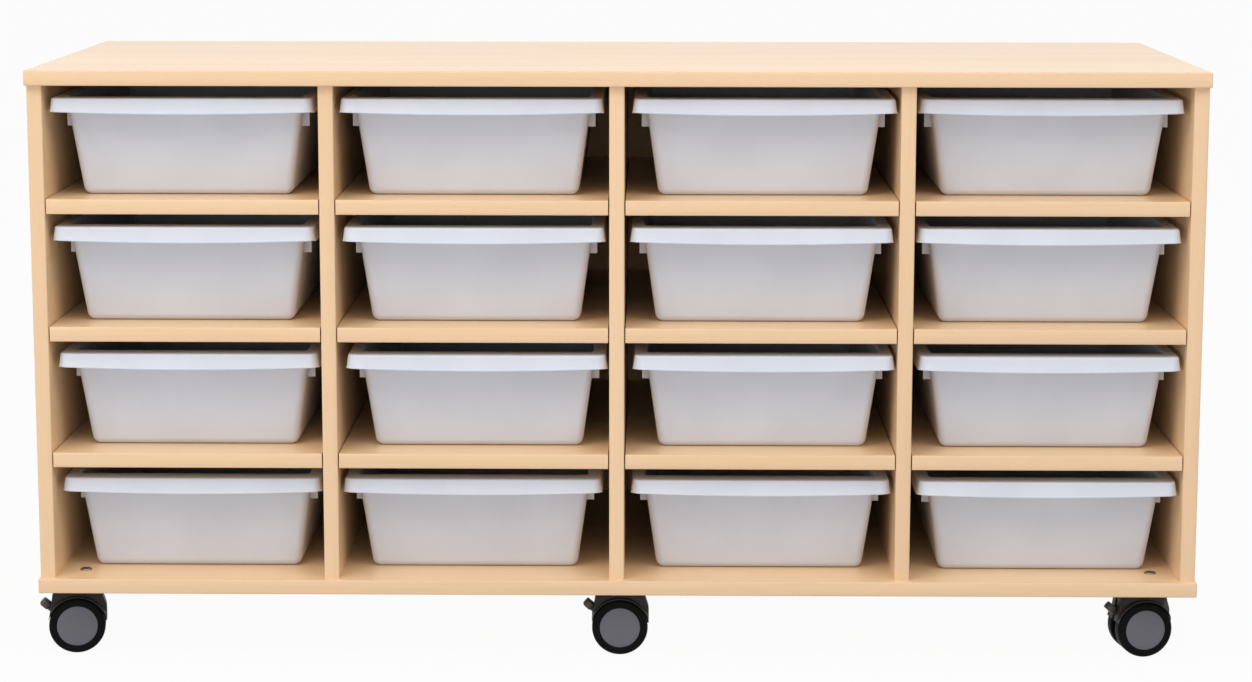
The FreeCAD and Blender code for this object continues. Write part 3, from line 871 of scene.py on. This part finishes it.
class TRAYUNIT_OT_hoods(bpy.types.Operator):
    """Adds the moulded hoods of the casters"""

    bl_idname = "tray_unit.add_hoods"
    bl_label = "Add caster hoods"

    def execute(self, context):
        settings = context.scene.tray_unit_casters
        black = moulded(
            "black_hood_plastic", tuple(settings.hood_colour), roughness=0.42, speckle=1300.0,
            texture=0.2, shine=0.2,
        )
        for place in PLACES:
            shape = hood_shape()
            at_caster(shape, place)
            node = f"caster_hood_{place}"
            finished(shape, f"{node}_moulding", f"caster_{place}", [black], node)
        return {"FINISHED"}


def wheel_profile(side, settings):
    """Half a section through a wheel, from the bottom of its bore round to the middle of its hub cap."""
    cap = settings.hub_cap
    shoulder = settings.shoulder
    points = [
        (0.0, BORE_BOTTOM), (BORE_RADIUS, BORE_BOTTOM), (BORE_RADIUS, WHEEL_INSIDE),
        (AXLE_HEIGHT - INNER_EDGE - MM, WHEEL_INSIDE),
    ]
    for sine, cosine in quarter(4):
        points.append((AXLE_HEIGHT - INNER_EDGE * (1 - sine), WHEEL_INSIDE + INNER_EDGE * (1 - cosine)))
    for sine, cosine in quarter(6):
        points.append((AXLE_HEIGHT - shoulder * (1 - cosine), WHEEL_OUTSIDE - shoulder * (1 - sine)))
    # the groove round the cap: past its radius, and below the wheel's side, in millimetres
    groove = ((1.0, 0.0), (0.3, 0.25), (0.2, 1.2), (-0.1, 1.2), (-0.3, 0.6), (-1.0, 0.3), (-6.0, 0.15))
    points += [(cap + past * MM, WHEEL_OUTSIDE - sunk * MM) for past, sunk in groove]
    points.append((0.0, WHEEL_OUTSIDE - 0.1 * MM))
    return [AXLE + Vector((0, side * y, radius)) for radius, y in points]


def on_cap(face, settings):
    """Whether a face of a wheel belongs to its hub cap or the groove's inner half."""
    middle = face.calc_center_median()
    return (middle - AXLE).xz.length < settings.hub_cap and abs(middle.y) > BORE_BOTTOM + MARGIN


class TRAYUNIT_OT_wheels(bpy.types.Operator):
    """Adds the twelve wheels with their hub caps"""

    bl_idname = "tray_unit.add_wheels"
    bl_label = "Add wheels"

    def execute(self, context):
        settings = context.scene.tray_unit_casters
        tyre = moulded(
            "black_wheel_plastic", tuple(settings.wheel_colour), roughness=0.48, speckle=1400.0,
            texture=0.25, shine=0.05,
        )
        cap = moulded(
            "grey_cap_plastic", tuple(settings.cap_colour), roughness=0.42, speckle=1600.0,
            texture=0.12, shine=0.3,
        )
        for place in PLACES:
            for letter, side in (("a", -1), ("b", 1)):
                shape = bmesh.new()
                turned(shape, wheel_profile(side, settings), AXLE, (0, 1, 0), 72)
                for face in shape.faces:
                    face.material_index = 1 if on_cap(face, settings) else 0
                at_caster(shape, place)
                node = f"wheel_{letter}_{place}"
                finished(shape, f"{node}_turning", node, [tyre, cap], node)
        return {"FINISHED"}


def lever_block(shape, start, end, half_width, half_thickness):
    """A block along a lever, from one distance from the pivot to another."""
    return block(shape, (start, -half_width, -half_thickness), (end, half_width, half_thickness))


def lever_shape():
    """A lever at rest: a paddle with a rounded tip, a shank in two steps and a barrel on the pivot."""
    shape = bmesh.new()
    tip = 27.5 * MM
    paddle = lever_block(shape, 16.0 * MM, tip, 7.0 * MM, 4.6 * MM)
    tip_edges = [edge for edge in edges_of(paddle) if all(v.co.x > tip - MARGIN for v in edge.verts)]
    rounded(shape, [edge for edge in tip_edges if edge_runs(edge, 2)], 4.0 * MM, 5)
    rounded(shape, sharp_edges(shape.verts, 50), 1.8 * MM, 3)
    lever_block(shape, 2.0 * MM, 9.0 * MM, 3.0 * MM, 2.25 * MM)
    lever_block(shape, 7.2 * MM, 17.0 * MM, 3.0 * MM, 3.9 * MM)
    bmesh.ops.create_cone(
        shape, cap_ends=True, segments=32, radius1=4.5 * MM, radius2=4.5 * MM, depth=6.0 * MM,
        matrix=Matrix.Rotation(math.pi / 2, 4, "X"),
    )
    turn = Matrix.Translation(LEVER_PIVOT) @ Matrix.Rotation(-math.radians(LEVER_ANGLE), 4, "Y")
    bmesh.ops.transform(shape, matrix=turn, verts=shape.verts)
    return shape


class TRAYUNIT_OT_levers(bpy.types.Operator):
    """Adds the brake levers"""

    bl_idname = "tray_unit.add_levers"
    bl_label = "Add brake levers"

    def execute(self, context):
        settings = context.scene.tray_unit_casters
        grey = moulded(
            "grey_lever_plastic", tuple(settings.lever_colour), roughness=0.45, speckle=1500.0,
            texture=0.2,
        )
        for place in PLACES:
            shape = lever_shape()
            at_caster(shape, place)
            node = f"brake_lever_{place}"
            finished(shape, f"{node}_moulding", node, [grey], node)
        return {"FINISHED"}


def stem_foot(bottom):
    """The lower end of half a section through a stem, its edge broken."""
    return [(0.0, bottom), (STEM_RADIUS - STEM_EDGE, bottom), (STEM_RADIUS, bottom + STEM_EDGE)]


def stud_profile(bottom, top):
    """Half a section through a plain stem, from its lower end up."""
    return stem_foot(bottom) + [
        (STEM_RADIUS, top - STEM_EDGE), (STEM_RADIUS - STEM_EDGE, top), (0.0, top)
    ]


def bolt_profile(bottom, seat, top):
    """Half a section through a stem whose domed head, with a round socket in it, lies on a seat."""
    head = [
        (HEAD_RADIUS, seat), (HEAD_RADIUS, seat + 0.5 * MM), (HEAD_RADIUS - 0.4 * MM, seat + 1.2 * MM),
        (HEAD_RADIUS - 1.6 * MM, top - 0.3 * MM), (HEAD_RADIUS - 3.0 * MM, top),
    ]
    socket = [
        (SOCKET_RADIUS + 0.3 * MM, top), (SOCKET_RADIUS, top - 0.2 * MM),
        (SOCKET_RADIUS, top - 1.5 * MM), (0.0, top - 1.9 * MM),
    ]
    return stem_foot(bottom) + [(STEM_RADIUS, seat)] + head + socket


class TRAYUNIT_OT_stems(bpy.types.Operator):
    """Adds the caster stems and finishes the axles"""

    bl_idname = "tray_unit.add_stems"
    bl_label = "Add stems and finish axles"

    def execute(self, context):
        low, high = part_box("caster_stems")
        base_low, base_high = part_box("base_panel")
        stud = stud_profile(low.z, base_low.z + STUD_DEPTH)
        bolt = bolt_profile(low.z, base_high.z, high.z)
        shape = bmesh.new()
        for place in PLACES:
            stem = bmesh.new()
            profile = stud if place.endswith("centre") else bolt
            turned(stem, [Vector((radius, 0, z)) for radius, z in profile], (0, 0, 0), (0, 0, 1), 32)
            at_caster(stem, place)
            mesh = bpy.data.meshes.new("stem")
            stem.to_mesh(mesh)
            stem.free()
            shape.from_mesh(mesh)
            bpy.data.meshes.remove(mesh)
        finished(shape, "caster_stems_turned", "carcass", [zinc_steel()], "caster_stems")
        for place in PLACES:
            for slot in frame["nodes"][f"wheel_axle_{place}"].material_slots:
                slot.material = zinc_steel()
        return {"FINISHED"}


# ---------------------------------------------------------------- stage
def floor_material(settings):
    """A plain pale floor that the camera sees as nearly white, with the unit's shadow on it."""
    recipe = Recipe("pale_floor")
    tone = recipe.noise(recipe.object_points((0.5, 0.5, 0.5)), detail=1.0)
    colour = tuple(settings.floor_colour)
    colours = recipe.mix(recipe.spread(tone), shade(colour, 0.995), colour)
    recipe.link(colours, recipe.shader.inputs["Base Color"])
    recipe.shader.inputs["Roughness"].default_value = 0.9
    recipe.shader.inputs["Specular IOR Level"].default_value = 0.0
    path = recipe.node("ShaderNodeLightPath")
    seen = recipe.maths("MAXIMUM", path.outputs["Is Camera Ray"], path.outputs["Is Glossy Ray"])
    white = recipe.node("ShaderNodeEmission")
    white.inputs["Strength"].default_value = 1.0
    blend = recipe.node("ShaderNodeMixShader")
    recipe.link(recipe.maths("MULTIPLY", seen, settings.floor_glow), blend.inputs["Fac"])
    recipe.link(recipe.shader.outputs["BSDF"], blend.inputs[1])
    recipe.link(white.outputs["Emission"], blend.inputs[2])
    recipe.link(blend.outputs["Shader"], recipe.tree.nodes["Material Output"].inputs["Surface"])
    return recipe.material


def light_world(scene, settings):
    """White to the camera and in reflections, and a plain level of light from all round."""
    world = bpy.data.worlds.new("studio")
    world.use_nodes = True
    tree = world.node_tree
    background = tree.nodes["Background"]
    background.inputs["Color"].default_value = (1.0, 1.0, 1.0, 1.0)
    path = tree.nodes.new("ShaderNodeLightPath")
    seen = tree.nodes.new("ShaderNodeMath")
    seen.operation = "MAXIMUM"
    tree.links.new(path.outputs["Is Camera Ray"], seen.inputs[0])
    tree.links.new(path.outputs["Is Glossy Ray"], seen.inputs[1])
    strength = tree.nodes.new("ShaderNodeMapRange")
    strength.inputs["To Min"].default_value = settings.ambient
    strength.inputs["To Max"].default_value = 1.0
    tree.links.new(seen.outputs["Value"], strength.inputs["Value"])
    tree.links.new(strength.outputs["Result"], background.inputs["Strength"])
    scene.world = world


def add_panel(name, power, size, distance, elevation, bearing):
    """A soft lamp that faces the middle of the unit; its bearing runs from the front to the left."""
    data = bpy.data.lights.new(name, "AREA")
    data.energy = power
    data.shape = "RECTANGLE"
    data.size, data.size_y = size
    lamp = bpy.data.objects.new(name, data)
    lamp.rotation_euler = Euler((math.radians(90 - elevation), 0, -math.radians(bearing)))
    bpy.context.scene.collection.objects.link(lamp)
    low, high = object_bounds()
    lamp.location = (low + high) / 2 + lamp.rotation_euler.to_matrix() @ Vector((0, 0, distance))
    return lamp


class TRAYUNIT_OT_stage(bpy.types.Operator):
    """Adds the floor, the lamps and the camera"""

    bl_idname = "tray_unit.add_stage"
    bl_label = "Add stage"

    def execute(self, context):
        scene = context.scene
        settings = scene.tray_unit_stage
        shape = bmesh.new()
        bmesh.ops.create_grid(shape, x_segments=1, y_segments=1, size=settings.floor_size / 2)
        mesh = bpy.data.meshes.new("floor")
        shape.to_mesh(mesh)
        shape.free()
        mesh.materials.append(floor_material(settings))
        floor = bpy.data.objects.new("floor", mesh)
        scene.collection.objects.link(floor)
        floor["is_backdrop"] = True
        light_world(scene, settings)
        upper = {"size": (2.0, 1.6), "distance": 3.0, "elevation": 46.0}
        add_panel("left_light", settings.left_light, bearing=42.0, **upper)
        add_panel("right_light", settings.right_light, bearing=-42.0, **upper)
        low_light = add_panel(
            "front_light", settings.front_light, size=(7.0, 0.7), distance=4.2, elevation=5.5,
            bearing=18.0,
        )
        low_light.visible_glossy = False
        data = bpy.data.cameras.new("camera")
        data.sensor_width = 36.0
        data.lens = settings.lens
        data.shift_x, data.shift_y = settings.shift
        camera = bpy.data.objects.new("camera", data)
        camera.location = settings.camera_place
        camera.rotation_euler = settings.camera_turn
        scene.collection.objects.link(camera)
        scene.camera = camera
        scene.view_settings.view_transform = "Standard"
        return {"FINISHED"}


# ---------------------------------------------------------------- panel and registration
STEPS = (
    TRAYUNIT_OT_boards,
    TRAYUNIT_OT_shelves,
    TRAYUNIT_OT_back,
    TRAYUNIT_OT_trays,
    TRAYUNIT_OT_hoods,
    TRAYUNIT_OT_wheels,
    TRAYUNIT_OT_levers,
    TRAYUNIT_OT_stems,
    TRAYUNIT_OT_stage,
)
SETTINGS = {
    "tray_unit_boards": BoardSettings,
    "tray_unit_trays": TraySettings,
    "tray_unit_casters": CasterSettings,
    "tray_unit_stage": StageSettings,
}


class TRAYUNIT_PT_panel(bpy.types.Panel):
    """The steps that build the unit, with their sizes and colours"""

    bl_idname = "TRAYUNIT_PT_panel"
    bl_label = "Classroom tray unit"
    bl_space_type = "VIEW_3D"
    bl_region_type = "UI"
    bl_category = "Tray unit"

    def draw(self, context):
        for step in STEPS:
            self.layout.operator(step.bl_idname)
        for name, group in SETTINGS.items():
            box = self.layout.box()
            for key in group.__annotations__:
                box.prop(getattr(context.scene, name), key)


def register():
    for group in SETTINGS.values():
        bpy.utils.register_class(group)
    for name, group in SETTINGS.items():
        setattr(bpy.types.Scene, name, PointerProperty(type=group))
    for step in (*STEPS, TRAYUNIT_PT_panel):
        bpy.utils.register_class(step)


def unregister():
    for step in (TRAYUNIT_PT_panel, *reversed(STEPS)):
        bpy.utils.unregister_class(step)
    for name, group in SETTINGS.items():
        delattr(bpy.types.Scene, name)
        bpy.utils.unregister_class(group)


def main():
    register()
    for step in STEPS:
        group, name = step.bl_idname.split(".")
        getattr(getattr(bpy.ops, group), name)()


if __name__ == "__main__":
    main()
